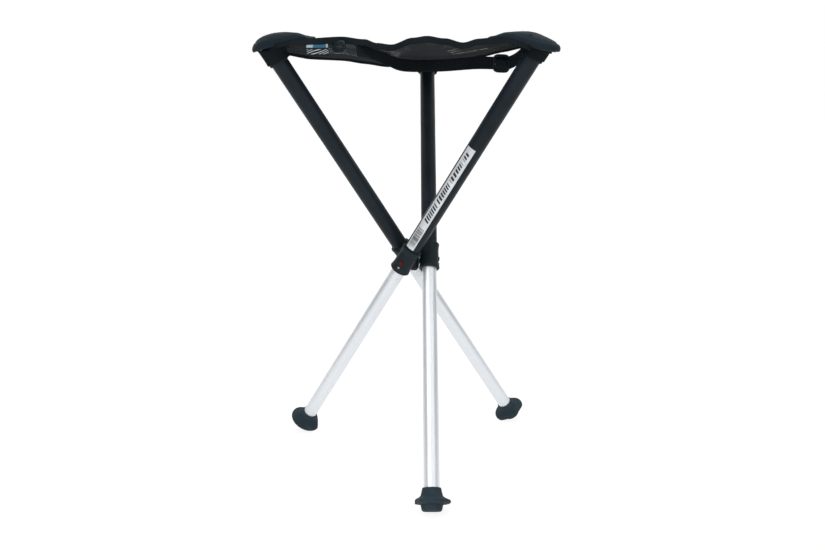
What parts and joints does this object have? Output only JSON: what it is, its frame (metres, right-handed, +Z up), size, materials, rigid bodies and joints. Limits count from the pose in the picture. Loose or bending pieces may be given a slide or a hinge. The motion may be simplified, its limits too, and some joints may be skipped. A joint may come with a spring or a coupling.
{
  "type": "three leg stool",
  "caption": "Folding stool on crossed telescopic legs joined at a central hub, with a triangular mesh fabric seat carried on the leg tops.",
  "frame": {"origin": "centre of the bounding box on the ground, under the feet", "axes": "+Z up, +Y to the leg top at the back, -Y to the front of the pictured view"},
  "size_m": [0.4122, 0.4638, 0.6474],
  "materials": {
    "hub_plastic": "satin, fine grain",
    "cap_plastic": "matte",
    "bush_plastic": "matte",
    "steel": "plain",
    "dark_tube": "satin powder coat",
    "silver_tube": "satin anodised",
    "red_plastic": "gloss",
    "foot_rubber": "matte",
    "seat_mesh": "open knitted mesh",
    "hem_tape": "woven tape",
    "corner_pad": "padded woven nylon",
    "label_tape": "woven label",
    "sticker_film": "printed film"
  },
  "bodies": {
    "hub": {"hub_core": "hub_plastic", "carry_strap": "hem_tape", "strap_buckle": "hub_plastic", "strap_ring": "steel", "care_label": "label_tape", "seat_hem_front": "hem_tape", "seat_hem_right": "hem_tape", "seat_hem_left": "hem_tape", "hinge_pin_1": "steel", "seat_panel_1": "seat_mesh", "hinge_pin_2": "steel", "seat_panel_2": "seat_mesh", "hinge_pin_3": "steel", "seat_panel_3": "seat_mesh"},
    "leg_1": {"hub_sleeve_1": "hub_plastic", "sleeve_rivet_1": "steel", "upper_tube_1": "dark_tube", "slide_bush_1": "bush_plastic", "top_cap_1": "cap_plastic", "seat_corner_1": "corner_pad"},
    "extension_1": {"lower_tube_1": "silver_tube", "guide_plug_1": "bush_plastic", "snap_spring_1": "steel", "foot_1": "foot_rubber", "foot_washer_1": "steel"},
    "button_1": {"release_button_1": "red_plastic"},
    "leg_2": {"hub_sleeve_2": "hub_plastic", "sleeve_rivet_2": "steel", "upper_tube_2": "dark_tube", "slide_bush_2": "bush_plastic", "top_cap_2": "cap_plastic", "seat_corner_2": "corner_pad", "tube_sticker": "sticker_film"},
    "extension_2": {"lower_tube_2": "silver_tube", "guide_plug_2": "bush_plastic", "snap_spring_2": "steel", "foot_2": "foot_rubber", "foot_washer_2": "steel"},
    "button_2": {"release_button_2": "red_plastic"},
    "leg_3": {"hub_sleeve_3": "hub_plastic", "sleeve_rivet_3": "steel", "upper_tube_3": "dark_tube", "slide_bush_3": "bush_plastic", "top_cap_3": "cap_plastic", "seat_corner_3": "corner_pad"},
    "extension_3": {"lower_tube_3": "silver_tube", "guide_plug_3": "bush_plastic", "snap_spring_3": "steel", "foot_3": "foot_rubber", "foot_washer_3": "steel"},
    "button_3": {"release_button_3": "red_plastic"}
  },
  "joints": [
    {"name": "fold_1", "type": "hinge", "parent": "hub", "child": "leg_1", "pos_m": [-0.0005, 0.01948, 0.3204], "axis": [-0.5, 0.866, 0], "range_deg": [0, 26.4], "deforming": ["seat_panel_1", "seat_corner_1", "seat_hem_front", "seat_hem_right", "seat_hem_left", "carry_strap", "strap_buckle", "strap_ring", "care_label"]},
    {"name": "extend_1", "type": "slide", "parent": "leg_1", "child": "extension_1", "axis": [-0.4893, -0.2825, 0.8251], "range_m": [0, 0.3]},
    {"name": "press_1", "type": "slide", "parent": "leg_1", "child": "button_1", "axis": [0.6272, -0.7714, 0.1078], "range_m": [0, 0.0012], "stiffness_N_per_m": 2500},
    {"name": "fold_2", "type": "hinge", "parent": "hub", "child": "leg_2", "pos_m": [-0.0005, -0.02209, 0.3204], "axis": [-0.5, -0.866, 0], "range_deg": [0, 26.4], "deforming": ["seat_panel_2", "seat_corner_2"]},
    {"name": "extend_2", "type": "slide", "parent": "leg_2", "child": "extension_2", "axis": [0.4893, -0.2825, 0.8251], "range_m": [0, 0.3]},
    {"name": "press_2", "type": "slide", "parent": "leg_2", "child": "button_2", "axis": [0.3545, 0.9288, 0.1078], "range_m": [0, 0.0012], "stiffness_N_per_m": 2500},
    {"name": "fold_3", "type": "hinge", "parent": "hub", "child": "leg_3", "pos_m": [0.0355, -0.0013, 0.3204], "axis": [1, 0, 0], "range_deg": [0, 26.4], "deforming": ["seat_panel_3", "seat_corner_3"]},
    {"name": "extend_3", "type": "slide", "parent": "leg_3", "child": "extension_3", "axis": [0, 0.565, 0.8251], "range_m": [0, 0.3]},
    {"name": "press_3", "type": "slide", "parent": "leg_3", "child": "button_3", "axis": [-0.9816, -0.1574, 0.1078], "range_m": [0, 0.0012], "stiffness_N_per_m": 2500}
  ],
  "couplings": [
    {"joint": "fold_2", "follows": "fold_1", "ratio": 1},
    {"joint": "fold_3", "follows": "fold_1", "ratio": 1}
  ]
}
